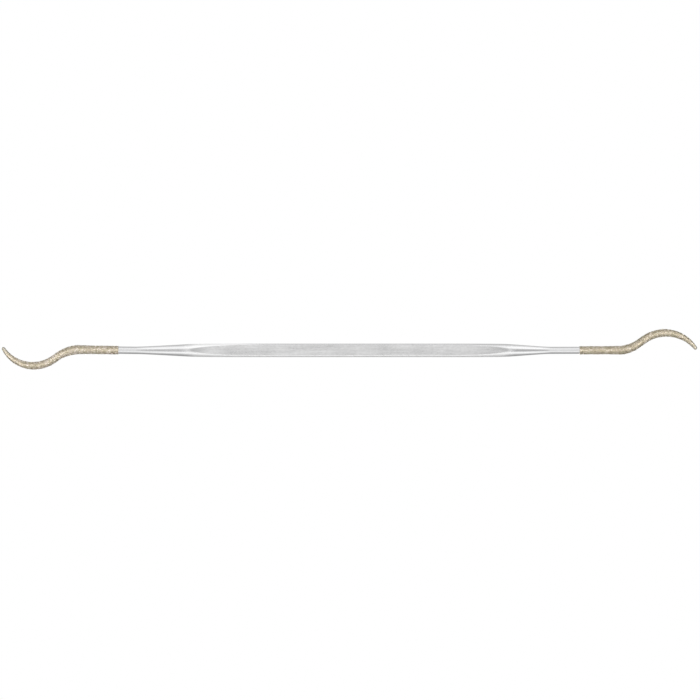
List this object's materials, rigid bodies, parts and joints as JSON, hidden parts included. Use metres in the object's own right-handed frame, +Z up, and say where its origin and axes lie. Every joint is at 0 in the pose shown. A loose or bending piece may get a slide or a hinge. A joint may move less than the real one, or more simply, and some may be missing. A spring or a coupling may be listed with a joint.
{
  "type": "diamond riffler file",
  "caption": "Slim steel hand file with a square ground handle, thin round necks and curved, tapering round ends coated in diamond grit.",
  "frame": {"origin": "centre of the handle's flat underside, on the plane the tool rests on", "axes": "+X along the handle towards the end whose hook rises, +Y across the handle in the plane of the hooks, +Z up through the handle's thickness"},
  "size_m": [0.1502, 0.0087, 0.0026],
  "materials": {
    "ground_steel": "ground flats with fine brush lines, polished tapers and necks",
    "diamond_grit_left": "rough diamond grit held in plated nickel, champagne coloured",
    "diamond_grit_right": "rough diamond grit held in plated nickel, champagne coloured"
  },
  "bodies": {
    "root": {"steel_blank": "ground_steel", "diamond_coating_left": "diamond_grit_left", "diamond_coating_right": "diamond_grit_right"}
  },
  "joints": []
}
